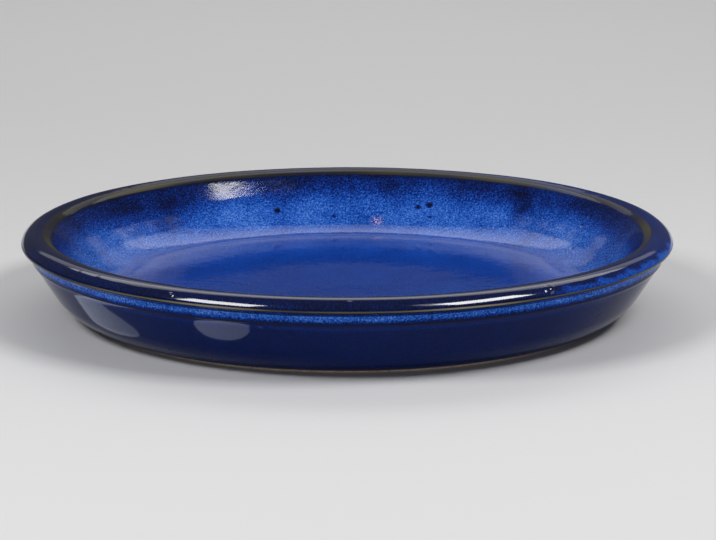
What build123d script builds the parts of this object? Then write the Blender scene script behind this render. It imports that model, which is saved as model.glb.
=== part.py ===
from build123d import *
from math import atan2, cos, sin, tan
import os

os.makedirs("parts", exist_ok=True)

# Sizes of the finished saucer in millimetres, taken over the glaze
rim_diameter = 300.0
overall_height = 39.2
wall_flare = 31.5
floor_height = 8.0

# Lip: a broad roll whose band leans in and whose top falls a little towards the inside
lip_width = 12.4
lip_fall = 1.9
lip_rounding = 6.4
lip_inner_rounding = 5.0
band_height = 5.2
band_lean = 2.3
edge_rounding = 0.5

# Collar: the groove under the lip and the low ridge that closes it
groove_depth = 4.1
groove_drop = 2.3
groove_rounding = 1.6
collar_height = 6.4
collar_taper = 0.5
ridge_rounding = 0.6
ridge_step = 0.9
ridge_drop = 0.9

# Outer wall, belly and foot of the clay
belly_share = 0.43
belly_rise = 2.6
belly_rounding = 26.0
foot_ring_width = 11.0
foot_recess = 2.4
foot_side = 1.5
foot_rounding = 0.5
bare_margin = 1.0

# Inside wall that steepens half way up, the hollow below it and the shallow dish of the floor
bend_lean = 7.9
bend_rise = 18.8
bend_curve = 32.0
inner_lean = 22.7
inner_curve = 27.0
dish_radius = 22.0
dish_rise = 4.3
dish_curve = 450.0

# Coat of glaze that is fired onto the clay
glaze_thickness = 0.7


def eased(wanted, before, corner, after):
    """Rounding that still fits the two straight runs at a corner."""
    back = (before[0] - corner[0], before[1] - corner[1])
    on = (after[0] - corner[0], after[1] - corner[1])
    turn = abs(atan2(back[0] * on[1] - back[1] * on[0], back[0] * on[0] + back[1] * on[1]))
    shortest = min((back[0] ** 2 + back[1] ** 2) ** 0.5, (on[0] ** 2 + on[1] ** 2) ** 0.5)
    return min(wanted, 0.9 * shortest * tan(turn / 2))


# Radii and heights of the clay, one coat of glaze inside the finished saucer
clay_rim = rim_diameter / 2 - glaze_thickness
clay_top = overall_height - glaze_thickness
clay_floor = floor_height - glaze_thickness
foot_outer = rim_diameter / 2 - wall_flare
foot_inner = foot_outer - foot_ring_width
lip_inner = rim_diameter / 2 - lip_width
edge_level = overall_height - band_height
ridge_level = edge_level - collar_height
lip_tilt = atan2(lip_fall, lip_width)
band_tilt = atan2(band_lean, band_height)
groove_tilt = atan2(groove_drop, groove_depth)

# Sharp corners of the lip, placed so that its rounded top and edge come out at the sizes above
top_gain = (sin(band_tilt) + cos(lip_tilt)) / (1 + sin(band_tilt - lip_tilt)) - 1
edge_gain = (sin(groove_tilt) + cos(band_tilt)) / (1 + sin(groove_tilt - band_tilt)) - 1
lip_corner_level = clay_top + lip_rounding * top_gain
edge_radius = clay_rim + edge_rounding * edge_gain
lip_corner = edge_radius - (lip_corner_level - edge_level) * tan(band_tilt)
groove_radius = clay_rim - groove_depth
ridge_radius = groove_radius - collar_taper

# Corners of the clay in section, from the middle of the underside round to the floor
under_middle = (0, foot_recess)
recess_corner = (foot_inner, foot_recess)
foot_inside = (foot_inner, 0)
foot_outside = (foot_outer, 0)
foot_top = (foot_outer, foot_side)
wall_top = (ridge_radius - ridge_step, ridge_level - ridge_drop)
belly = (foot_outer + belly_share * (wall_top[0] - foot_outer), foot_side + belly_rise)
ridge = (ridge_radius, ridge_level)
groove = (groove_radius, edge_level - groove_drop)
lip_edge = (edge_radius, edge_level)
lip_outer = (lip_corner, lip_corner_level)
lip_inside = (lip_inner, lip_corner_level - (lip_corner - lip_inner) * tan(lip_tilt))
wall_bend = (lip_inner - bend_lean, clay_floor + bend_rise)
floor_corner = (lip_inner - inner_lean, clay_floor + dish_rise)
dish = (dish_radius, clay_floor)
floor_middle = (0, clay_floor)

# Fired clay dish: floor, belly, wall, collar and lip in one piece, on a turned foot ring
with BuildPart() as stoneware_body:
    with BuildSketch(Plane.XZ) as clay_section:
        with BuildLine() as clay_outline:
            FilletPolyline(
                under_middle,
                recess_corner,
                foot_inside,
                foot_outside,
                foot_top,
                belly,
                wall_top,
                ridge,
                groove,
                lip_edge,
                lip_outer,
                lip_inside,
                wall_bend,
                floor_corner,
                dish,
                floor_middle,
                radius=[
                    eased(foot_rounding, under_middle, recess_corner, foot_inside),
                    eased(foot_rounding, recess_corner, foot_inside, foot_outside),
                    eased(foot_rounding, foot_inside, foot_outside, foot_top),
                    eased(foot_rounding, foot_outside, foot_top, belly),
                    eased(belly_rounding, foot_top, belly, wall_top),
                    eased(ridge_rounding, belly, wall_top, ridge),
                    eased(ridge_rounding, wall_top, ridge, groove),
                    eased(groove_rounding, ridge, groove, lip_edge),
                    eased(edge_rounding, groove, lip_edge, lip_outer),
                    eased(lip_rounding, lip_edge, lip_outer, lip_inside),
                    eased(lip_inner_rounding, lip_outer, lip_inside, wall_bend),
                    eased(bend_curve, lip_inside, wall_bend, floor_corner),
                    eased(inner_curve, wall_bend, floor_corner, dish),
                    eased(dish_curve, floor_corner, dish, floor_middle),
                ],
            )
            Line(floor_middle, under_middle)
        make_face()
    revolve(axis=Axis.Z)
stoneware_body.part.label = "stoneware_body"
export_step(stoneware_body.part, "parts/stoneware_body.step")

# Section of the whole coat: one even skin round the clay, none on the foot or the underside
reach = rim_diameter
core_level = (foot_recess + clay_floor) / 2
bare_radius = foot_outer + bare_margin
with BuildSketch(Plane.XZ) as coat_section:
    add(clay_section.sketch_local)
    offset(amount=glaze_thickness, kind=Kind.ARC)
    add(clay_section.sketch_local, mode=Mode.SUBTRACT)
    Rectangle(reach, reach, align=(Align.MAX, Align.CENTER), mode=Mode.SUBTRACT)
    with Locations((0, core_level)):
        Rectangle(bare_radius, reach, align=(Align.MIN, Align.MAX), mode=Mode.SUBTRACT)

# The coat changes over on the crown of the lip and a quarter of the way up its band
seam_radius = (lip_inner + clay_rim) / 2
seam_level = edge_level + band_height / 4

# Glaze over the lip, thin enough to break brown on the edges
with BuildPart() as rim_glaze:
    with BuildSketch(Plane.XZ):
        add(coat_section.sketch_local)
        with Locations((seam_radius, seam_level)):
            Rectangle(reach, reach, align=(Align.MIN, Align.MIN), mode=Mode.INTERSECT)
    revolve(axis=Axis.Z)
rim_glaze.part.label = "rim_glaze"
export_step(rim_glaze.part, "parts/rim_glaze.step")

# What is left of the coat falls into an inside skin and an outside skin
with BuildSketch(Plane.XZ) as lower_coats:
    add(coat_section.sketch_local)
    with Locations((seam_radius, seam_level)):
        Rectangle(reach, reach, align=(Align.MIN, Align.MIN), mode=Mode.SUBTRACT)
skins = lower_coats.sketch_local.faces().sort_by(Axis.X)

# Glaze poured over the floor and the inside wall
with BuildPart() as inside_glaze:
    with BuildSketch(Plane.XZ):
        add(skins[0])
    revolve(axis=Axis.Z)
inside_glaze.part.label = "inside_glaze"
export_step(inside_glaze.part, "parts/inside_glaze.step")

# Glaze over the collar and the outer wall, ending just above the foot
with BuildPart() as outside_glaze:
    with BuildSketch(Plane.XZ):
        add(skins[-1])
    revolve(axis=Axis.Z)
outside_glaze.part.label = "outside_glaze"
export_step(outside_glaze.part, "parts/outside_glaze.step")
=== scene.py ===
"""Glazed stoneware plant saucer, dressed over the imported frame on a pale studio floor."""

import logging
import math
import random
from collections.abc import Callable
from dataclasses import dataclass, field
from enum import Enum

import bpy
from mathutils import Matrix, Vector
from mathutils.kdtree import KDTree


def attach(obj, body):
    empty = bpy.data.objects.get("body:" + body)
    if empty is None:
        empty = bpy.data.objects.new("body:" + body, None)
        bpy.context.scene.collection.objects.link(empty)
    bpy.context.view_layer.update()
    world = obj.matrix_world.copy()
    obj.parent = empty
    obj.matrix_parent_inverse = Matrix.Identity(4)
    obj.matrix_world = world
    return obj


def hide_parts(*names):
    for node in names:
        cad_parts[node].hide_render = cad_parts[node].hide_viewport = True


LOG = logging.getLogger("saucer")
MM = 0.001
Point = tuple[float, float]
Place = tuple[float, float, float]
Colour = tuple[float, float, float, float]
Stops = tuple[tuple[float, Colour], ...]
Socket = bpy.types.NodeSocket

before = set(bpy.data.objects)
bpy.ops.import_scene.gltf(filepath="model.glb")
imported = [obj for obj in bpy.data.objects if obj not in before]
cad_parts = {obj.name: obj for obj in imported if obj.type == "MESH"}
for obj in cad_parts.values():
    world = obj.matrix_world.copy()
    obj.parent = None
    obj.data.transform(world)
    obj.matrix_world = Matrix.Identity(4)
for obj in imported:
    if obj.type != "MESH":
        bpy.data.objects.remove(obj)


def paint(*channels: int) -> Colour:
    """Turn a screen colour into the linear colour a shader takes.

    Args:
        channels: red, green and blue on the screen, 0 to 255.

    Returns:
        The linear colour with full alpha.
    """
    shares = [channel / 255.0 for channel in channels]
    linear = [share / 12.92 if share <= 0.04045 else ((share + 0.055) / 1.055) ** 2.4 for share in shares]
    return (*linear, 1.0)


def ease(low: float, high: float, value: float) -> float:
    """Smooth step from 0 at low to 1 at high."""
    share = min(1.0, max(0.0, (value - low) / (high - low)))
    return share * share * (3.0 - 2.0 * share)


@dataclass(frozen=True)
class Spot:
    """A point of the saucer: degrees from the front to the right, radius and height in millimetres."""

    angle: float
    r: float
    z: float

    def place(self) -> Vector:
        """The same point in metres along the axes."""
        turn = math.radians(self.angle)
        return Vector((self.r * math.sin(turn), -self.r * math.cos(turn), self.z)) * MM


@dataclass(frozen=True)
class Fade:
    """A soft change from 0 at one value to 1 at another."""

    start: float
    end: float

    def at(self, value: float) -> float:
        """Share of the change that a value has passed."""
        return ease(self.start, self.end, value)


@dataclass(frozen=True)
class Wave:
    """One swing of an unevenness that goes round the saucer."""

    height: float
    count: float
    shift: float = 0.0

    def at(self, angle: float) -> float:
        """Height of the wave at an angle in degrees."""
        return self.height * math.sin(self.count * math.radians(angle) + self.shift)


class Coat(Enum):
    """The coats of glaze, by the node each one stands for."""

    OUTSIDE = "outside_glaze"
    RIM = "rim_glaze"
    INSIDE = "inside_glaze"


@dataclass(frozen=True)
class Corner:
    """A corner of the section with the rounding it gets, in millimetres."""

    r: float
    z: float
    rounding: float = 0.0


@dataclass
class SaucerSection:
    """Section of the saucer from the axis outwards, in millimetres, as the solids have it."""

    rim_radius: float = 150.0
    height: float = 39.2
    wall_flare: float = 31.5
    floor_height: float = 8.0
    lip_width: float = 12.4
    lip_fall: float = 1.9
    lip_rounding: float = 6.4
    lip_inner_rounding: float = 5.0
    band_height: float = 5.2
    band_lean: float = 2.3
    edge_rounding: float = 0.5
    groove_depth: float = 4.1
    groove_drop: float = 2.3
    groove_rounding: float = 1.6
    collar_height: float = 6.4
    collar_taper: float = 0.5
    ridge_rounding: float = 0.6
    ridge_step: float = 0.9
    ridge_drop: float = 0.9
    belly_share: float = 0.43
    belly_rise: float = 2.6
    belly_rounding: float = 26.0
    foot_ring_width: float = 11.0
    foot_recess: float = 2.4
    foot_side: float = 1.5
    foot_rounding: float = 0.5
    bare_margin: float = 1.0
    bend_lean: float = 7.9
    bend_rise: float = 18.8
    bend_curve: float = 32.0
    inner_lean: float = 22.7
    inner_curve: float = 27.0
    dish_radius: float = 22.0
    dish_rise: float = 4.3
    dish_curve: float = 450.0
    glaze: float = 0.7
    widest_step: float = 2.0
    arc_share: float = 0.02
    arc_turn: float = 0.14
    arc_steps: int = 4
    closed_arc: float = 0.05

    @property
    def lip_inner(self) -> float:
        """Radius of the lip's inner edge on the clay."""
        return self.rim_radius - self.lip_width

    @property
    def edge_level(self) -> float:
        """Height of the lip's lower edge."""
        return self.height - self.band_height

    @property
    def ridge_level(self) -> float:
        """Height of the ridge that closes the groove."""
        return self.edge_level - self.collar_height

    @property
    def ridge_radius(self) -> float:
        """Radius of the ridge over the glaze."""
        return self.rim_radius - self.groove_depth - self.collar_taper

    @property
    def lip_tilt(self) -> float:
        """Slope of the lip's top, in radians."""
        return math.atan2(self.lip_fall, self.lip_width)

    @property
    def band_tilt(self) -> float:
        """Lean of the lip's band from upright, in radians."""
        return math.atan2(self.band_lean, self.band_height)

    @property
    def lip_corner(self) -> Point:
        """Sharp outer corner of the lip on the clay, before it is rounded."""
        lean = self.band_tilt
        gain = (math.sin(lean) + math.cos(self.lip_tilt)) / (1 + math.sin(lean - self.lip_tilt)) - 1
        level = self.height - self.glaze + self.lip_rounding * gain
        return (self.edge_radius - (level - self.edge_level) * math.tan(lean), level)

    @property
    def edge_radius(self) -> float:
        """Radius of the lip's sharp lower edge on the clay, before it is rounded."""
        tilt, lean = math.atan2(self.groove_drop, self.groove_depth), self.band_tilt
        gain = (math.sin(tilt) + math.cos(lean)) / (1 + math.sin(tilt - lean)) - 1
        return self.rim_radius - self.glaze + self.edge_rounding * gain

    @property
    def crown_radius(self) -> float:
        """Radius at which the lip is highest."""
        lean = self.band_tilt
        inwards = (math.cos(lean) - math.sin(self.lip_tilt)) / (1 + math.sin(lean - self.lip_tilt))
        return self.lip_corner[0] - self.lip_rounding * inwards

    @property
    def seam_radius(self) -> float:
        """Radius on the lip's crown where the rim coat meets the inside coat."""
        return (self.lip_inner + self.rim_radius - self.glaze) / 2

    @property
    def seam_level(self) -> float:
        """Height on the lip's band where the rim coat meets the outside coat."""
        return self.edge_level + self.band_height / 4

    def corners(self) -> list[Corner]:
        """Work out the corners of the clay.

        Returns:
            The corners, from the middle of the underside round to the middle of the floor.
        """
        clay_rim = self.rim_radius - self.glaze
        foot = self.rim_radius - self.wall_flare
        groove = clay_rim - self.groove_depth
        ridge = groove - self.collar_taper
        lip_corner, top = self.lip_corner
        fall = (lip_corner - self.lip_inner) * math.tan(self.lip_tilt)
        wall_top = ridge - self.ridge_step
        belly = foot + self.belly_share * (wall_top - foot)
        floor = self.floor_height - self.glaze
        return [
            Corner(0.0, self.foot_recess),
            Corner(foot - self.foot_ring_width, self.foot_recess, self.foot_rounding),
            Corner(foot - self.foot_ring_width, 0.0, self.foot_rounding),
            Corner(foot, 0.0, self.foot_rounding),
            Corner(foot, self.foot_side, self.foot_rounding),
            Corner(belly, self.foot_side + self.belly_rise, self.belly_rounding),
            Corner(wall_top, self.ridge_level - self.ridge_drop, self.ridge_rounding),
            Corner(ridge, self.ridge_level, self.ridge_rounding),
            Corner(groove, self.edge_level - self.groove_drop, self.groove_rounding),
            Corner(self.edge_radius, self.edge_level, self.edge_rounding),
            Corner(lip_corner, top, self.lip_rounding),
            Corner(self.lip_inner, top - fall, self.lip_inner_rounding),
            Corner(self.lip_inner - self.bend_lean, floor + self.bend_rise, self.bend_curve),
            Corner(self.lip_inner - self.inner_lean, floor + self.dish_rise, self.inner_curve),
            Corner(self.dish_radius, floor, self.dish_curve),
            Corner(0.0, floor),
        ]

    def outline(self, coat: float, grain: float) -> list[Point]:
        """Trace the section with its corners rounded.

        Args:
            coat: how far outside the clay the line runs.
            grain: longest step on a small rounding.

        Returns:
            The points of the line, from the underside's middle to the floor's middle.
        """
        corners = self.corners()
        runs = []
        for here, there in zip(corners[:-1], corners[1:]):
            length = math.hypot(there.r - here.r, there.z - here.z)
            runs.append(((there.r - here.r) / length, (there.z - here.z) / length))
        points = [(0.0, corners[0].z - coat)]
        for index in range(1, len(corners) - 1):
            points += self._rounded(corners[index], runs[index - 1], runs[index], coat, grain)
        points.append((0.0, corners[-1].z + coat))
        return points

    def _rounded(self, corner: Corner, come: Point, go: Point, coat: float, grain: float) -> list[Point]:
        """Points round one corner of the section.

        Args:
            corner: the clay's corner.
            come: direction of the run into the corner.
            go: direction of the run out of it.
            coat: how far outside the clay the line runs.
            grain: longest step on a small rounding.

        Returns:
            The points of the arc, or the corner itself where the arc closes up.
        """
        first, second = (come[1], -come[0]), (go[1], -go[0])
        spread = 1.0 + first[0] * second[0] + first[1] * second[1]
        r = corner.r + coat * (first[0] + second[0]) / spread
        z = corner.z + coat * (first[1] + second[1]) / spread
        cross = come[0] * go[1] - come[1] * go[0]
        radius = corner.rounding + (coat if cross > 0 else -coat)
        if radius <= self.closed_arc:
            return [(r, z)]
        turn = math.atan2(cross, come[0] * go[0] + come[1] * go[1])
        reach = radius * math.tan(abs(turn) / 2)
        start = (r - come[0] * reach, z - come[1] * reach)
        side = 1.0 if turn > 0 else -1.0
        centre = (start[0] - first[0] * radius * side, start[1] - first[1] * radius * side)
        angle = math.atan2(start[1] - centre[1], start[0] - centre[0])
        length = max(grain, min(self.widest_step, self.arc_share * radius))
        by_turn = math.ceil(abs(turn) / self.arc_turn)
        steps = max(self.arc_steps, math.ceil(radius * abs(turn) / length), by_turn)
        arc = []
        for step in range(steps + 1):
            here = angle + turn * step / steps
            arc.append((centre[0] + radius * math.cos(here), centre[1] + radius * math.sin(here)))
        return arc

    def coat_line(self, coat: Coat, offset: float, grain: float, stride: float) -> list[Point]:
        """Cut one coat's stretch out of the traced section.

        Args:
            coat: which coat the stretch is for.
            offset: how far outside the clay the line runs.
            grain: longest step on a small rounding.
            stride: longest step on a straight run.

        Returns:
            The stretch's points, from the foot towards the floor.
        """
        line = self.outline(offset, grain)
        foot = self.rim_radius - self.wall_flare + self.bare_margin
        _, line = self._parted(line, lambda point: point[0] - foot)
        outside, line = self._parted(line, lambda point: point[1] - self.seam_level)
        rim, inside = self._parted(line, lambda point: self.seam_radius - point[0])
        stretch = {Coat.OUTSIDE: outside, Coat.RIM: rim, Coat.INSIDE: inside}[coat]
        return self.stepped(stretch, stride)

    @staticmethod
    def _parted(line: list[Point], past: Callable[[Point], float]) -> tuple[list[Point], list[Point]]:
        """Part a line in two.

        Args:
            line: the points of the line.
            past: how far a point lies past the parting, below 0 before it.

        Returns:
            The stretch before the parting and the stretch after it, which share the cut.
        """
        for index in range(len(line) - 1):
            before, after = past(line[index]), past(line[index + 1])
            if before < 0.0 <= after:
                share = before / (before - after)
                cut = tuple(a + (b - a) * share for a, b in zip(line[index], line[index + 1]))
                return line[: index + 1] + [cut], [cut] + line[index + 1:]
        raise ValueError("the section doesn't reach the parting")

    @staticmethod
    def stepped(line: list[Point], stride: float) -> list[Point]:
        """Divide the long straight runs of a line.

        Args:
            line: the points of the line.
            stride: longest step between two points.

        Returns:
            The same line with points added along its runs.
        """
        points = [line[0]]
        for here, there in zip(line[:-1], line[1:]):
            pieces = max(1, math.ceil(math.hypot(there[0] - here[0], there[1] - here[1]) / stride))
            for step in range(1, pieces + 1):
                share = step / pieces
                points.append(tuple(a + (b - a) * share for a, b in zip(here, there)))
        return points


@dataclass(frozen=True)
class Patch:
    """A cloud where the glaze ran thinner or thicker, by its angle from the front and its height."""

    angle: float
    z: float
    along: float
    tall: float
    change: float

    def at(self, spot: Spot) -> float:
        """Change of film at a point, fading from the middle of the patch."""
        across = math.radians((spot.angle - self.angle + 180.0) % 360.0 - 180.0) * spot.r / self.along
        return self.change * math.exp(-across ** 2 - ((spot.z - self.z) / self.tall) ** 2)


@dataclass(frozen=True)
class Blemish:
    """A small fault of the firing: a pinhole, a pimple or a bead of glaze, in millimetres."""

    coat: Coat
    angle: float
    r: float
    z: float
    width: float
    lift: float
    # A negative change darkens the film at a pinhole: painted shade in the pit.
    change: float = 0.0
    lift_core: float = 0.1
    film_core: float = 0.15
    film_edge: float = 0.8

    def middle(self) -> Vector:
        """Middle of the fault in metres."""
        return Spot(self.angle, self.r, self.z).place()

    def lift_at(self, distance: float) -> float:
        """How far the surface stands up at a distance in metres from the middle."""
        return self.lift * ease(self.width, self.lift_core * self.width, distance / MM)

    def film_at(self, distance: float) -> float:
        """Change of film at a distance in metres from the middle; at a pinhole it darkens the film as
        painted shade.
        """
        return self.change * ease(self.film_edge, self.film_core, distance / MM / self.width)


@dataclass(frozen=True)
class Faults:
    """The faults of one coat, worked into its piece together."""

    piece: bpy.types.Object
    faults: list[Blemish]
    reach: float = 1.7
    cuts: int = 3

    def work(self) -> None:
        """Cut the faces round the faults finer, then raise or press the surface there."""
        self._cut()
        for name, side in (("raised", 1.0), ("pressed", -1.0)):
            self._push(name, side)
        self.piece.vertex_groups.clear()

    def film(self) -> dict[int, float]:
        """Work out what the faults change in the film; at the pinholes this darkening is painted shade.

        Returns:
            Change of film by the number of the point, near the faults only.
        """
        change: dict[int, float] = {}
        tree = self._tree([point.co for point in self.piece.data.vertices])
        for fault in self.faults:
            for _, index, distance in tree.find_range(fault.middle(), fault.width * MM):
                change[index] = change.get(index, 0.0) + fault.film_at(distance)
        return change

    @staticmethod
    def _tree(places: list[Vector]) -> KDTree:
        """Sort places for finding those near a spot.

        Args:
            places: the places, in metres.

        Returns:
            The sorted places, by their number.
        """
        tree = KDTree(len(places))
        for index, place in enumerate(places):
            tree.insert(place, index)
        tree.balance()
        return tree

    def _cut(self) -> None:
        """Cut the faces round every fault finer."""
        bpy.ops.object.select_all(action="DESELECT")
        self.piece.select_set(True)
        bpy.context.view_layer.objects.active = self.piece
        bpy.context.tool_settings.mesh_select_mode = (False, False, True)
        bpy.ops.object.mode_set(mode="EDIT")
        bpy.ops.mesh.select_all(action="DESELECT")
        bpy.ops.object.mode_set(mode="OBJECT")
        faces = self.piece.data.polygons
        tree = self._tree([face.center for face in faces])
        for fault in self.faults:
            for _, index, _ in tree.find_range(fault.middle(), self.reach * fault.width * MM):
                faces[index].select = True
        bpy.ops.object.mode_set(mode="EDIT")
        bpy.ops.mesh.subdivide(number_cuts=self.cuts, smoothness=1.0)
        bpy.ops.object.mode_set(mode="OBJECT")

    def _push(self, name: str, side: float) -> None:
        """Raise or press the surface at the faults of one kind.

        Args:
            name: name of the group of points that moves.
            side: 1 for what stands up, -1 for what is pressed in.
        """
        kind = [fault for fault in self.faults if fault.lift * side > 0.0]
        if not kind:
            return
        group = self.piece.vertex_groups.new(name=name)
        tree = self._tree([point.co for point in self.piece.data.vertices])
        for fault in kind:
            for _, index, distance in tree.find_range(fault.middle(), fault.width * MM):
                group.add([index], side * fault.lift_at(distance), "ADD")
        shift = self.piece.modifiers.new(name, "DISPLACE")
        shift.direction = "NORMAL"
        shift.vertex_group = name
        shift.mid_level = 0.0
        shift.strength = side * MM
        bpy.context.view_layer.objects.active = self.piece
        bpy.ops.object.modifier_apply(modifier=shift.name)


@dataclass
class GlazeFilm:
    """How thick the fired glaze lies over the section, from 0 on a bare edge to 1 in a pool.

    A fade is in millimetres from the place that its name ends on, or in degrees from the front.
    """

    section: SaucerSection
    lip: float = 0.24
    lip_right: float = 0.15
    lip_right_starts: Fade = Fade(30.0, 80.0)
    lip_right_stops: Fade = Fade(175.0, 130.0)
    wall: float = 0.30
    under_ridge: float = 0.10
    fringe_starts_by_wall_top: Fade = Fade(-3.2, -1.2)
    fringe_stops_by_wall_top: Fade = Fade(-0.2, -0.8)
    ridge: float = 0.26
    ridge_by_wall_top: Fade = Fade(-0.6, 0.1)
    pool: float = 0.75
    pool_by_ridge: Fade = Fade(0.2, 2.2)
    pool_by_groove: Fade = Fade(0.5, -0.7)
    inside_top: float = 0.39
    inside_low: float = 0.72
    thin_depth: float = 3.0
    thick_rise: float = 8.0
    lip_by_top: Fade = Fade(-4.2, -1.8)
    floor: float = 0.555
    floor_by_corner: Fade = Fade(3.0, -12.0)
    run: float = 0.30
    run_starts: Fade = Fade(34.0, 41.0)
    run_stops: Fade = Fade(150.0, 120.0)
    run_rise: float = 3.0
    run_by_drips: Fade = Fade(0.7, -0.9)
    drips: tuple[Wave, ...] = (Wave(0.49, 47.0), Wave(0.35, 83.0, 1.3), Wave(0.28, 131.0))
    ring: float = 0.58
    ring_even: float = 0.8
    ring_waves: tuple[Wave, ...] = (Wave(0.12, 5.0, 0.6), Wave(0.08, 13.0))
    ring_by_crown: Fade = Fade(2.2, 3.4)
    ring_by_top: Fade = Fade(-2.9, -1.9)
    edge_line: Point = (-0.1, 0.2)
    edge_by_line: Fade = Fade(0.7, 0.2)
    edge_wear_and_glint: float = 0.6
    worn_waves: tuple[Wave, ...] = (Wave(0.08, 7.0, -0.5), Wave(0.05, 17.0, 2.0))
    # Painted highlight: the edge line is made paler about 22 degrees either side of the front, where the
    # front lamps' highlights fall.
    painted_glint: float = 0.32
    painted_glint_angle: float = 22.0
    painted_glint_spread: float = 9.0
    ridge_worn: float = 0.2
    worn_by_ridge: Fade = Fade(0.8, 0.2)
    lip_grain: float = 0.3
    inside_grain_by_top: Fade = Fade(-1.0, -4.0)
    floor_calm: float = 0.75
    band_grain: float = 0.3
    band_top: float = 0.5
    band_low: float = 2.0
    wall_grain: float = 0.22
    grain_by_ridge: Fade = Fade(0.0, 1.0)
    patches: tuple[Patch, ...] = (
        Patch(-126.0, 31.5, 16.0, 4.0, -0.16),
        Patch(-138.0, 30.5, 11.0, 3.0, -0.12),
        Patch(-135.5, 21.5, 9.0, 3.6, -0.20),
        Patch(-137.0, 26.5, 9.0, 4.0, -0.14),
        Patch(-121.0, 26.0, 14.0, 6.0, -0.08),
        Patch(-168.0, 34.0, 11.0, 3.0, -0.14),
        Patch(141.0, 33.5, 7.0, 3.4, -0.20),
        Patch(138.5, 26.5, 6.0, 6.0, -0.26),
        Patch(152.0, 34.0, 9.0, 2.6, -0.10),
        Patch(170.0, 33.0, 6.0, 3.0, -0.08),
        Patch(122.0, 34.0, 12.0, 3.0, -0.14),
        Patch(-152.0, 22.0, 8.0, 4.0, 0.10),
        Patch(-60.0, 27.0, 12.0, 5.0, -0.16),
        Patch(35.0, 24.0, 9.0, 5.0, -0.18),
        Patch(84.0, 30.0, 12.0, 4.0, -0.14),
        Patch(-12.0, 31.0, 14.0, 3.5, -0.14),
    )

    def film_at(self, coat: Coat, spot: Spot) -> float:
        """Film at a point of the surface.

        Args:
            coat: the coat that the point is on.
            spot: the point.

        Returns:
            The film's thickness, 0 to 1.
        """
        if coat is Coat.INSIDE:
            return self._inside(spot)
        if coat is Coat.RIM or spot.z > self.section.edge_level:
            return self._lip_at(spot.angle) + self._run(spot)
        return self._outside(spot.z)

    def bare_and_glint_at(self, spot: Spot) -> float:
        """How far the glaze broke to olive brown at a point, with a painted highlight on the edge line
        near the front.

        Args:
            spot: the point.

        Returns:
            0 where the glaze is whole, up to 1 where it is bare; the painted highlight on the edge line
            raises it too.
        """
        size = self.section
        uneven = self.ring_even + sum(wave.at(spot.angle) for wave in self.ring_waves)
        ring = self.ring_by_crown.at(size.crown_radius - spot.r)
        ring *= self.ring_by_top.at(spot.z - size.height)
        # Painted highlight on the edge line near the front; the waves below are the line's real uneven
        # wear.
        painted_glint = math.exp(-((abs(spot.angle) - self.painted_glint_angle) / self.painted_glint_spread) ** 2)
        edge_wear_and_glint = self.edge_wear_and_glint + self.painted_glint * painted_glint + sum(wave.at(spot.angle) for wave in self.worn_waves)
        line_r, line_z = size.rim_radius + self.edge_line[0], size.edge_level + self.edge_line[1]
        edge = self.edge_by_line.at(math.hypot(spot.r - line_r, spot.z - line_z))
        ridge = self.worn_by_ridge.at(math.hypot(spot.r - size.ridge_radius, spot.z - size.ridge_level))
        return max(self.ring * uneven * ring, edge_wear_and_glint * edge, self.ridge_worn * ridge)

    def _inside(self, spot: Spot) -> float:
        """Film over the inside wall and the floor.

        Args:
            spot: the point.

        Returns:
            The film's thickness.
        """
        size = self.section
        low = size.floor_height + size.dish_rise
        deep = ease(size.height - self.thin_depth, low + self.thick_rise, spot.z)
        film = self.inside_top + (self.inside_low - self.inside_top) * deep
        film += (self.floor - self.inside_low) * self._on_floor(spot.r)
        film += (self._lip_at(spot.angle) - film) * self.lip_by_top.at(spot.z - size.height)
        return film + sum(patch.at(spot) for patch in self.patches)

    def _lip_at(self, angle: float) -> float:
        """Film on the lip, a little thicker on its right side."""
        right = self.lip_right_starts.at(angle) * self.lip_right_stops.at(angle)
        return self.lip + self.lip_right * right

    def _on_floor(self, r: float) -> float:
        """How far a point has passed from the inside wall to the floor, 0 to 1."""
        return self.floor_by_corner.at(r - self.section.lip_inner + self.section.inner_lean)

    def _run(self, spot: Spot) -> float:
        """Thicker glaze that ran down the lip's band on one side, in drips.

        Args:
            spot: the point.

        Returns:
            What the run adds to the film.
        """
        top = self.section.edge_level + self.run_rise + sum(wave.at(spot.angle) for wave in self.drips)
        share = self.run_starts.at(spot.angle) * self.run_stops.at(spot.angle)
        return self.run * share * self.run_by_drips.at(spot.z - top)

    def _outside(self, z: float) -> float:
        """Film over the groove, the ridge and the outer wall.

        Args:
            z: height in millimetres.

        Returns:
            The film's thickness.
        """
        size = self.section
        rise = z - size.ridge_level + size.ridge_drop
        fringe = self.fringe_starts_by_wall_top.at(rise) * self.fringe_stops_by_wall_top.at(rise)
        film = self.wall + self.under_ridge * fringe
        film += (self.ridge - film) * self.ridge_by_wall_top.at(rise)
        pooled = self.pool_by_ridge.at(z - size.ridge_level)
        pooled *= self.pool_by_groove.at(z - size.edge_level + size.groove_drop)
        return film + (self.pool - film) * pooled

    def grain_at(self, coat: Coat, spot: Spot) -> float:
        """How strongly the glaze breaks into grain at a point.

        Args:
            coat: the coat that the point is on.
            spot: the point.

        Returns:
            The grain's strength, 0 to 1.
        """
        size = self.section
        if coat is Coat.INSIDE:
            deep = self.inside_grain_by_top.at(spot.z - size.height)
            upper = self.lip_grain + (1.0 - self.lip_grain) * deep
            return upper * (1.0 - self.floor_calm * self._on_floor(spot.r))
        if coat is Coat.RIM or spot.z > size.edge_level:
            band = ease(size.height - self.band_top, size.edge_level + self.band_low, spot.z)
            return self.lip_grain + self.band_grain * band
        high = self.grain_by_ridge.at(spot.z - size.ridge_level)
        return self.wall_grain + (1.0 - self.wall_grain) * high


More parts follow.
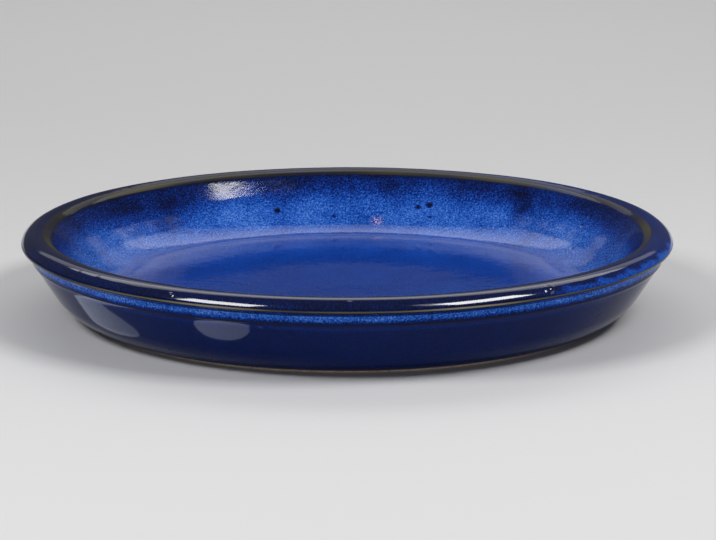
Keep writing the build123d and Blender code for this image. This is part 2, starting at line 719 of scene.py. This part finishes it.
@dataclass(frozen=True)
class Lathe:
    """Turns a section round the axis into a mesh, by drawing it in edit mode and spinning it."""

    steps: int
    seed: float = 0.002
    drawn_merge: float = 1e-7
    turned_merge: float = 2e-6
    crease: float = 40.0

    def turn(self, name: str, line: list[Point], closed: bool) -> bpy.types.Object:
        """Draw a section and spin it.

        Args:
            name: name of the piece.
            line: points of the section in millimetres, in order.
            closed: whether the section's last point joins its first.

        Returns:
            The turned piece, at the origin.
        """
        bpy.ops.object.select_all(action="DESELECT")
        bpy.ops.mesh.primitive_plane_add(size=self.seed, location=(0.0, 0.0, 0.0))
        piece = bpy.context.object
        piece.name = piece.data.name = name
        bpy.context.tool_settings.mesh_select_mode = (True, False, False)
        bpy.ops.object.mode_set(mode="EDIT")
        bpy.ops.mesh.select_all(action="SELECT")
        bpy.ops.mesh.merge(type="CENTER")
        bpy.ops.mesh.select_all(action="SELECT")
        bpy.ops.transform.translate(value=(line[0][0] * MM, 0.0, line[0][1] * MM))
        path = line[1:] + ([line[0]] if closed else [])
        for here, there in zip([line[0]] + path[:-1], path):
            step = ((there[0] - here[0]) * MM, 0.0, (there[1] - here[1]) * MM)
            bpy.ops.mesh.extrude_region_move(TRANSFORM_OT_translate={"value": step})
        bpy.ops.mesh.select_all(action="SELECT")
        bpy.ops.mesh.remove_doubles(threshold=self.drawn_merge)
        bpy.ops.mesh.spin(steps=self.steps, angle=math.tau, center=(0, 0, 0), axis=(0, 0, 1))
        bpy.ops.mesh.select_all(action="SELECT")
        bpy.ops.mesh.remove_doubles(threshold=self.turned_merge)
        bpy.ops.mesh.normals_make_consistent(inside=False)
        bpy.ops.object.mode_set(mode="OBJECT")
        bpy.ops.object.shade_smooth_by_angle(angle=math.radians(self.crease))
        return piece


@dataclass(frozen=True)
class Waver:
    """A gentle unevenness from the making, the same through every piece at a place."""

    name: str
    size: float
    depth: float

    def bend(self, piece: bpy.types.Object) -> None:
        """Shift the piece's points by a soft cloud of offsets and apply it.

        Args:
            piece: the piece that is bent.
        """
        texture = bpy.data.textures.get(self.name) or bpy.data.textures.new(self.name, "CLOUDS")
        texture.cloud_type = "COLOR"
        texture.noise_scale = self.size
        texture.noise_depth = 1
        shift = piece.modifiers.new(self.name, "DISPLACE")
        shift.texture = texture
        shift.texture_coords = "LOCAL"
        shift.direction = "RGB_TO_XYZ"
        shift.mid_level = 0.5
        shift.strength = self.depth
        bpy.context.view_layer.objects.active = piece
        bpy.ops.object.modifier_apply(modifier=shift.name)


@dataclass
class Bench:
    """Sets nodes out in one tree and joins them."""

    tree: bpy.types.NodeTree
    count: int = 0
    columns: int = 8
    across: int = 220
    down: int = 260

    def add(self, kind: str, **settings: object) -> bpy.types.Node:
        """Add a node, with its settings and its unlinked inputs by name.

        Args:
            kind: the node's type name.
            settings: attributes of the node, or values of inputs in the dictionary named inputs.

        Returns:
            The node.
        """
        node = self.tree.nodes.new(kind)
        row, column = divmod(self.count, self.columns)
        node.location = (self.across * column, -self.down * row)
        self.count += 1
        inputs = settings.pop("inputs", {})
        for key, value in settings.items():
            setattr(node, key, value)
        for key, value in inputs.items():
            node.inputs[key].default_value = value
        return node

    def noise(self, scale: float, detail: float, roughness: float) -> bpy.types.Node:
        """Add a soft noise, by the clouds in a metre, their finer layers and the strength of those."""
        values = {"Scale": scale, "Detail": detail, "Roughness": roughness}
        return self.add("ShaderNodeTexNoise", inputs=values)

    def step(self, value: Socket, low: float, high: float) -> Socket:
        """Step softly from 0 to 1.

        Args:
            value: the socket that is stepped.
            low: the value where the step starts.
            high: the value where it ends.

        Returns:
            The step's socket.
        """
        node = self.add("ShaderNodeMapRange", interpolation_type="SMOOTHSTEP",
                        inputs={"From Min": low, "From Max": high})
        self.join(value, node.inputs["Value"])
        return node.outputs["Result"]

    def join(self, start: Socket, end: Socket) -> None:
        """Link an output to an input."""
        self.tree.links.new(start, end)

    def sum(self, kind: str, first: object, second: object) -> Socket:
        """Do one sum on two sockets or numbers.

        Args:
            kind: the operation, such as MULTIPLY.
            first: a socket or a number.
            second: a socket or a number.

        Returns:
            The result's socket.
        """
        node = self.add("ShaderNodeMath", operation=kind)
        for slot, value in enumerate((first, second)):
            if isinstance(value, (int, float)):
                node.inputs[slot].default_value = value
            else:
                self.join(value, node.inputs[slot])
        return node.outputs[0]

    def mix(self, share: Socket, first: Socket, second: object) -> Socket:
        """Mix one colour into another.

        Args:
            share: how much of the second colour shows.
            first: the colour underneath.
            second: the colour on top, a socket or a plain colour.

        Returns:
            The mixed colour's socket.
        """
        node = self.add("ShaderNodeMix", data_type="RGBA")
        shares, firsts, seconds = node.inputs[0], node.inputs[6], node.inputs[7]
        self.join(share, shares)
        self.join(first, firsts)
        if isinstance(second, tuple):
            seconds.default_value = second
        else:
            self.join(second, seconds)
        return node.outputs[2]

    def ramp(self, value: Socket, stops: Stops) -> Socket:
        """Turn a value into a colour.

        Args:
            value: the value's socket, 0 to 1.
            stops: positions and their colours, in order.

        Returns:
            The colour's socket.
        """
        node = self.add("ShaderNodeValToRGB")
        marks = node.color_ramp.elements
        while len(marks) < len(stops):
            marks.new(0.5)
        for mark, (position, colour) in zip(marks, stops):
            mark.position = position
            mark.color = colour
        self.join(value, node.inputs["Fac"])
        return node.outputs["Color"]


@dataclass(frozen=True)
class MottleEffect:
    """Shader group that breaks an even film of glaze into clouds, grain and dark specks."""

    name: str = "glaze_mottle"
    cloud_scale: float = 34.0
    grain_scale: float = 1250.0
    speck_scale: float = 520.0
    speck_core: float = 0.10
    speck_edge: float = 0.34
    swell_scale: float = 190.0
    grain_relief: float = 0.4
    noise_middle: float = 0.5

    def group(self) -> bpy.types.NodeTree:
        """Make the group once, and give it back after that."""
        known = bpy.data.node_groups.get(self.name)
        return known if known else self._made()

    def _made(self) -> bpy.types.NodeTree:
        """Build the group's nodes.

        Returns:
            The group's tree.
        """
        tree = bpy.data.node_groups.new(self.name, "ShaderNodeTree")
        face = tree.interface
        face.new_socket("Place", in_out="INPUT", socket_type="NodeSocketVector")
        for label in ("Film", "Break", "Cloud", "Grain", "Speck"):
            face.new_socket(label, in_out="INPUT", socket_type="NodeSocketFloat")
        for label in ("Film", "Grain", "Relief"):
            face.new_socket(label, in_out="OUTPUT", socket_type="NodeSocketFloat")
        bench = Bench(tree)
        come, go = bench.add("NodeGroupInput"), bench.add("NodeGroupOutput")
        cloud = bench.noise(self.cloud_scale, detail=4.0, roughness=0.62)
        grain = bench.noise(self.grain_scale, detail=2.0, roughness=0.6)
        swell = bench.noise(self.swell_scale, detail=1.0, roughness=0.5)
        speck = bench.add("ShaderNodeTexVoronoi", inputs={"Scale": self.speck_scale, "Randomness": 1.0})
        for node in (cloud, grain, speck, swell):
            bench.join(come.outputs["Place"], node.inputs["Vector"])
        clouds = bench.sum("SUBTRACT", cloud.outputs["Fac"], self.noise_middle)
        clouds = bench.sum("MULTIPLY", clouds, come.outputs["Cloud"])
        grains = bench.sum("SUBTRACT", grain.outputs["Fac"], self.noise_middle)
        grains = bench.sum("MULTIPLY", grains, come.outputs["Grain"])
        away = bench.step(speck.outputs["Distance"], self.speck_core, self.speck_edge)
        dots = bench.sum("SUBTRACT", 1.0, away)
        dotted = bench.sum("MULTIPLY", dots, come.outputs["Speck"])
        broken = bench.sum("SUBTRACT", bench.sum("ADD", clouds, grains), dotted)
        broken = bench.sum("MULTIPLY", broken, come.outputs["Break"])
        bench.join(bench.sum("ADD", come.outputs["Film"], broken), go.inputs["Film"])
        bench.join(grain.outputs["Fac"], go.inputs["Grain"])
        relief = bench.sum("MULTIPLY", grain.outputs["Fac"], come.outputs["Break"])
        relief = bench.sum("ADD", bench.sum("MULTIPLY", relief, self.grain_relief), swell.outputs["Fac"])
        bench.join(relief, go.inputs["Relief"])
        return tree


@dataclass(frozen=True)
class Finish:
    """A material with one shader, which each kind of finish sets up."""

    name: str

    def material(self) -> bpy.types.Material:
        """Build the material.

        Returns:
            The material, ready to put on a piece.
        """
        made = bpy.data.materials.new(self.name)
        made.use_nodes = True
        made.node_tree.nodes.clear()
        bench = Bench(made.node_tree)
        shader = self.shader(bench)
        out = bench.add("ShaderNodeOutputMaterial")
        bench.join(shader.outputs["BSDF"], out.inputs["Surface"])
        return made

    def shader(self, bench: Bench) -> bpy.types.Node:
        """Set up the finish's Principled shader on a bench."""
        raise NotImplementedError


@dataclass(frozen=True)
class GlazeFinish(Finish):
    """A glossy glaze whose colour follows the film's thickness."""

    shine: float = 0.5
    cloud: float = 0.55
    grain: float = 1.25
    speck: float = 0.10
    gloss: float = 0.08
    ripple: float = 0.10
    bloom: Colour = paint(214, 186, 206)
    ripple_depth: float = 0.0006
    crumb_low: float = 0.46
    crumb_high: float = 0.60
    break_gain: float = 1.6
    pit_gloss: float = 0.08
    dry: float = 0.0
    ior: float = 1.5
    bare_and_glint_stops: Stops = (
        (0.00, paint(20, 20, 34)),
        (0.45, paint(56, 52, 33)),
        (1.00, paint(132, 126, 106)),
    )
    stops: Stops = (
        (0.00, paint(6, 8, 28)),
        (0.20, paint(8, 15, 50)),
        (0.34, paint(7, 30, 88)),
        (0.48, paint(11, 46, 130)),
        (0.62, paint(22, 76, 176)),
        (0.80, paint(50, 112, 212)),
        (1.00, paint(112, 152, 232)),
    )

    def shader(self, bench: Bench) -> bpy.types.Node:
        """Set up the glaze's shader.

        Args:
            bench: the bench of the material.

        Returns:
            The shader's node.
        """
        place = bench.add("ShaderNodeTexCoord")
        film, grain, bloom, bare_and_glint, pit = [
            bench.add("ShaderNodeAttribute", attribute_name=name).outputs["Fac"]
            for name in ("film", "grain", "bloom", "bare_and_glint", "pit")
        ]
        values = {"Cloud": self.cloud, "Grain": self.grain, "Speck": self.speck}
        mottle = bench.add("ShaderNodeGroup", node_tree=MottleEffect().group(), inputs=values)
        bench.join(place.outputs["Object"], mottle.inputs["Place"])
        bench.join(film, mottle.inputs["Film"])
        bench.join(grain, mottle.inputs["Break"])
        blue = bench.ramp(mottle.outputs["Film"], self.stops)
        # The olive ramp colours the bare edges; its pale end also paints the edge line's highlight near
        # the front.
        bare_and_glint_colour = bench.ramp(bare_and_glint, self.bare_and_glint_stops)
        crumb = bench.step(mottle.outputs["Grain"], self.crumb_low, self.crumb_high)
        colour = bench.mix(bench.sum("MULTIPLY", crumb, bloom), blue, self.bloom)
        broken = bench.sum("MINIMUM", bench.sum("MULTIPLY", bare_and_glint, self.break_gain), 1.0)
        colour = bench.mix(broken, colour, bare_and_glint_colour)
        relief = {"Strength": self.ripple, "Distance": self.ripple_depth}
        bump = bench.add("ShaderNodeBump", inputs=relief)
        bench.join(mottle.outputs["Relief"], bump.inputs["Height"])
        rough = bench.sum("ADD", bench.sum("MULTIPLY", pit, self.pit_gloss), self.gloss)
        plain = {"IOR": self.ior, "Specular IOR Level": self.shine}
        shader = bench.add("ShaderNodeBsdfPrincipled", inputs=plain)
        if self.dry:
            dulled = bench.sum("MULTIPLY", broken, self.dry * self.shine)
            bench.join(bench.sum("SUBTRACT", self.shine, dulled), shader.inputs["Specular IOR Level"])
        bench.join(rough, shader.inputs["Roughness"])
        bench.join(colour, shader.inputs["Base Color"])
        bench.join(bump.outputs["Normal"], shader.inputs["Normal"])
        return shader


@dataclass(frozen=True)
class ClayFinish(Finish):
    """Bare fired stoneware: buff, dry and finely gritty."""

    stops: Stops = ((0.36, paint(178, 152, 138)), (0.60, paint(226, 204, 192)))
    grit_scale: float = 600.0
    grit_share: float = 0.6
    grit_bump: float = 0.4
    grit_depth: float = 0.0005
    stain_scale: float = 22.0
    roughness: float = 0.85

    def shader(self, bench: Bench) -> bpy.types.Node:
        """Set up the clay's shader.

        Args:
            bench: the bench of the material.

        Returns:
            The shader's node.
        """
        place = bench.add("ShaderNodeTexCoord")
        grit = bench.noise(self.grit_scale, detail=4.0, roughness=0.65)
        stain = bench.noise(self.stain_scale, detail=3.0, roughness=0.5)
        for node in (grit, stain):
            bench.join(place.outputs["Object"], node.inputs["Vector"])
        fine = bench.sum("MULTIPLY", grit.outputs["Fac"], self.grit_share)
        broad = bench.sum("MULTIPLY", stain.outputs["Fac"], 1.0 - self.grit_share)
        colour = bench.ramp(bench.sum("ADD", fine, broad), self.stops)
        relief = {"Strength": self.grit_bump, "Distance": self.grit_depth}
        bump = bench.add("ShaderNodeBump", inputs=relief)
        bench.join(grit.outputs["Fac"], bump.inputs["Height"])
        shader = bench.add("ShaderNodeBsdfPrincipled", inputs={"Roughness": self.roughness})
        bench.join(colour, shader.inputs["Base Color"])
        bench.join(bump.outputs["Normal"], shader.inputs["Normal"])
        return shader


@dataclass
class Saucer:
    """The clay dish with its coats of glaze."""

    section: SaucerSection = field(default_factory=SaucerSection)
    lathe: Lathe = Lathe(360)
    clay_grain: float = 1.5
    clay_stride: float = 4.0
    coat_grain: float = 0.45
    coat_stride: float = 1.4
    under_gap: float = 0.02
    under_grain: float = 2.0
    under_stride: float = 6.0
    wavers: tuple[Waver, ...] = (Waver("throwing", 0.09, 0.0005), Waver("glaze_flow", 0.014, 0.00005))
    bloom_spot: Spot = Spot(173.0, 118.8, 16.8)
    bloom_width: float = 4.5
    pit_gain: float = 5.0
    pinholes: int = 14
    pinhole_seed: int = 11
    pinhole_arc: float = 120.0
    pinhole_low: Point = (119.0, 16.6)
    pinhole_high: Point = (129.0, 26.3)
    pinhole_widths: Point = (0.8, 1.6)
    pinhole_lift: float = -0.25
    pinhole_painted_shade: float = -0.40
    # The inside faults' negative film change darkens the pinholes: painted shade in the pits.
    blemishes: tuple[Blemish, ...] = (
        Blemish(Coat.INSIDE, -163.5, 124.6, 22.1, 3.0, -0.30, -0.62),
        Blemish(Coat.INSIDE, -176.7, 121.1, 18.7, 2.0, -0.20, -0.45),
        Blemish(Coat.INSIDE, 163.9, 125.9, 23.3, 2.4, -0.25, -0.55),
        Blemish(Coat.INSIDE, 161.4, 127.0, 24.4, 3.0, -0.30, -0.62),
        Blemish(Coat.INSIDE, 160.4, 121.9, 19.5, 1.6, -0.15, -0.40),
        Blemish(Coat.RIM, -30.1, 148.4, 37.0, 1.3, 0.55),
        Blemish(Coat.RIM, 0.6, 147.1, 38.1, 0.9, 0.35),
        Blemish(Coat.RIM, -51.9, 147.1, 38.1, 1.3, 0.25),
        Blemish(Coat.RIM, -46.8, 147.1, 38.1, 1.5, 0.25),
        Blemish(Coat.RIM, 35.8, 148.2, 37.2, 2.8, 1.2, -0.06),
        Blemish(Coat.OUTSIDE, -14.1, 143.8, 25.5, 1.7, 0.55),
        Blemish(Coat.OUTSIDE, -9.6, 142.0, 22.5, 3.0, 0.28),
    )

    def build(self) -> list[bpy.types.Object]:
        """Build and dress every piece.

        Returns:
            The pieces, clay first.
        """
        finishes = {
            Coat.OUTSIDE: GlazeFinish("navy_outside", shine=0.06, ripple=0.03),
            Coat.RIM: GlazeFinish("blue_black_lip", shine=0.85, ripple=0.02),
            Coat.INSIDE: GlazeFinish("cobalt_inside", dry=0.95),
        }
        return [self._clay()] + [self._coat(coat, finish) for coat, finish in finishes.items()]

    def _clay(self) -> bpy.types.Object:
        """Turn the clay dish and give it its bare finish.

        Returns:
            The clay's piece.
        """
        line = self.section.stepped(self.section.outline(0.0, self.clay_grain), self.clay_stride)
        piece = self.lathe.turn("clay_dish", line, closed=False)
        for waver in self.wavers:
            waver.bend(piece)
        piece.data.materials.append(ClayFinish("bare_stoneware").material())
        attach(piece, "root")
        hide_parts("stoneware_body")
        return piece

    def _coat(self, coat: Coat, finish: GlazeFinish) -> bpy.types.Object:
        """Turn one coat of glaze and dress it.

        Args:
            coat: which coat.
            finish: the coat's finish.

        Returns:
            The coat's piece.
        """
        over = self.section.coat_line(coat, self.section.glaze, self.coat_grain, self.coat_stride)
        under = self.section.coat_line(coat, self.under_gap, self.under_grain, self.under_stride)
        piece = self.lathe.turn(f"{coat.value}_skin", over + under[::-1], closed=True)
        faults = Faults(piece, self._faults(coat))
        faults.work()
        self._chart(piece, coat, faults.film())
        for waver in self.wavers:
            waver.bend(piece)
        piece.data.materials.append(finish.material())
        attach(piece, "root")
        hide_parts(coat.value)
        return piece

    def _faults(self, coat: Coat) -> list[Blemish]:
        """Gather one coat's faults: those in the photograph and a few pinholes out of its sight.

        Args:
            coat: which coat.

        Returns:
            The faults.
        """
        faults = [fault for fault in self.blemishes if fault.coat is coat]
        if coat is Coat.INSIDE:
            draw = random.Random(self.pinhole_seed)
            for _ in range(self.pinholes):
                rise = draw.uniform(0.0, 1.0)
                span = zip(self.pinhole_low, self.pinhole_high)
                r, z = [low + (high - low) * rise for low, high in span]
                angle = draw.uniform(-self.pinhole_arc, self.pinhole_arc)
                width = draw.uniform(*self.pinhole_widths)
                faults.append(Blemish(coat, angle, r, z, width, self.pinhole_lift, self.pinhole_painted_shade))
        return faults

    def _chart(self, piece: bpy.types.Object, coat: Coat, faulty: dict[int, float]) -> None:
        """Note the film, its grain, its bare edges with the painted highlight on the edge line, the bloom
        and the pits at every point of a coat.

        Args:
            piece: the coat's piece, still true to the section.
            coat: which coat it is.
            faulty: change of film at the faults, by the number of the point; at the pinholes it is
                painted shade.
        """
        film = GlazeFilm(self.section)
        bloom_place = self.bloom_spot.place()
        names = ("film", "grain", "bare_and_glint", "bloom", "pit")
        values = {name: [0.0] * len(piece.data.vertices) for name in names}
        for index, point in enumerate(piece.data.vertices):
            place = point.co
            angle = math.degrees(math.atan2(place.x, -place.y))
            spot = Spot(angle, math.hypot(place.x, place.y) / MM, place.z / MM)
            change = faulty.get(index, 0.0)
            # At the pinholes the fault's change darkens the film as painted shade.
            values["film"][index] = film.film_at(coat, spot) + change
            values["grain"][index] = film.grain_at(coat, spot)
            values["bare_and_glint"][index] = film.bare_and_glint_at(spot)
            values["bloom"][index] = ease(self.bloom_width * MM, 0.0, (place - bloom_place).length)
            values["pit"][index] = min(1.0, -self.pit_gain * min(0.0, change))
        for name, column in values.items():
            piece.data.attributes.new(name, "FLOAT", "POINT").data.foreach_set("value", column)


class LampShape(Enum):
    """Outlines that a lamp's face can have."""

    OBLONG = "RECTANGLE"
    OVAL = "ELLIPSE"


@dataclass(frozen=True)
class Softbox:
    """A soft studio lamp, which can be left out of reflections or show in them only."""

    name: str
    place: Place
    aim: Place
    width: float
    depth: float
    glow: float
    mirrored: bool = True
    lighting: bool = True
    shape: LampShape = LampShape.OBLONG
    tint: Place = (1.0, 1.0, 1.0)

    def hang(self) -> None:
        """Hang the lamp, turned towards its aim; glow is how bright its face looks."""
        lamp = bpy.data.lights.new(self.name, "AREA")
        lamp.shape = self.shape.value
        lamp.color = self.tint
        lamp.size = self.width
        lamp.size_y = self.depth
        lamp.energy = self.glow * math.pi * self.width * self.depth
        holder = bpy.data.objects.new(self.name, lamp)
        bpy.context.scene.collection.objects.link(holder)
        holder.location = self.place
        way = [a - p for a, p in zip(self.aim, self.place)]
        flat = math.hypot(way[0], way[1])
        holder.rotation_euler = (math.atan2(flat, -way[2]), 0.0, math.atan2(way[1], way[0]) - math.pi / 2)
        holder.visible_camera = False
        holder.visible_glossy = self.mirrored
        holder.visible_diffuse = self.lighting


@dataclass(frozen=True)
class TableGlow(Softbox):
    """A bluish oval that lies on the table, lights nothing and shows only where it is mirrored."""

    lighting: bool = False
    shape: LampShape = LampShape.OVAL
    tint: Place = (0.88, 0.97, 1.2)


@dataclass
class Studio:
    """Pale floor, soft lamps and the camera of the photograph."""

    tilt: float = 12.757
    distance: float = 1.5
    focus_px: float = 3239.03
    image_width: int = 716
    aim: Place = (0.00498, 0.0, 0.01845)
    sensor: float = 36.0
    floor_size: float = 14.0
    floor_colour: Colour = (0.8, 0.8, 0.8, 1.0)
    floor_roughness: float = 0.9
    floor_shine: float = 0.1
    room: float = 0.08
    room_colour: Colour = (0.92, 0.93, 1.0, 1.0)
    lamps: tuple[Softbox, ...] = (
        Softbox("overhead_far", (0.0, 1.42, 1.205), (0.0, 1.421, 0.0), 2.24, 0.256, 1.7),
        Softbox("overhead_back", (0.0, 1.165, 1.205), (0.0, 1.166, 0.0), 2.06, 0.256, 1.65),
        Softbox("overhead_mid", (0.0, 0.91, 1.205), (0.0, 0.911, 0.0), 1.88, 0.256, 1.5),
        Softbox("overhead_near", (0.0, 0.655, 1.205), (0.0, 0.656, 0.0), 1.70, 0.256, 0.9),
        Softbox("behind", (0.0, 1.9, 1.10), (0.0, 0.0, 1.10), 2.2, 0.62, 0.45),
        Softbox("front_right", (0.685, -0.428, 0.921), (0.0, 0.0, 0.03), 0.56, 0.30, 12.0),
        Softbox("front_right_edge", (0.460, -0.588, 0.963), (0.0, 0.0, 0.03), 0.2, 0.28, 1.8),
        Softbox("front_left", (-0.688, -0.598, 0.81), (0.0, 0.0, 0.03), 0.50, 0.34, 10.8),
        Softbox("low_front", (0.0, -1.5, 0.3), (0.0, 0.0, 0.01), 1.6, 0.3, 2.0, mirrored=False),
        TableGlow("table_left", (-0.1254, -0.0674, 0.0006), (-0.1247, -0.0667, 1.0), 0.076, 0.0135, 0.95),
        TableGlow("table_front", (-0.0638, -0.1319, 0.0006), (-0.0642, -0.1328, 1.0), 0.032, 0.0104, 3.6),
    )

    def build(self) -> None:
        """Lay the floor, hang the lamps, light the room and set the camera."""
        self._floor()
        for lamp in self.lamps:
            lamp.hang()
        self._room()
        self._camera()
        bpy.context.scene.view_settings.view_transform = "Standard"

    def _floor(self) -> None:
        """Lay a plain pale floor."""
        bpy.ops.object.select_all(action="DESELECT")
        bpy.ops.mesh.primitive_plane_add(size=self.floor_size, location=(0.0, 0.0, 0.0))
        floor = bpy.context.object
        floor.name = "floor"
        made = bpy.data.materials.new("pale_floor")
        made.use_nodes = True
        shader = made.node_tree.nodes["Principled BSDF"]
        shader.inputs["Base Color"].default_value = self.floor_colour
        shader.inputs["Roughness"].default_value = self.floor_roughness
        shader.inputs["Specular IOR Level"].default_value = self.floor_shine
        floor.data.materials.append(made)

    def _room(self) -> None:
        """Give the room its dim light."""
        world = bpy.data.worlds.new("room")
        bpy.context.scene.world = world
        world.use_nodes = True
        light = world.node_tree.nodes["Background"]
        light.inputs["Color"].default_value = self.room_colour
        light.inputs["Strength"].default_value = self.room

    def _camera(self) -> None:
        """Set the camera at the photograph's angle."""
        lens = bpy.data.cameras.new("camera")
        lens.sensor_width = self.sensor
        lens.lens = self.focus_px * lens.sensor_width / self.image_width
        holder = bpy.data.objects.new("camera", lens)
        bpy.context.scene.collection.objects.link(holder)
        tilt = math.radians(self.tilt)
        holder.location = (
            self.aim[0],
            self.aim[1] - self.distance * math.cos(tilt),
            self.aim[2] + self.distance * math.sin(tilt),
        )
        holder.rotation_euler = (math.pi / 2 - tilt, 0.0, 0.0)
        bpy.context.scene.camera = holder


def main() -> None:
    """Build the saucer and its studio, and log the face count of each piece."""
    logging.basicConfig(level=logging.INFO, format="%(name)s: %(message)s")
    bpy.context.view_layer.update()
    for piece in Saucer().build():
        LOG.info("%s: %d faces", piece.name, len(piece.data.polygons))
    Studio().build()


if __name__ == "__main__":
    main()
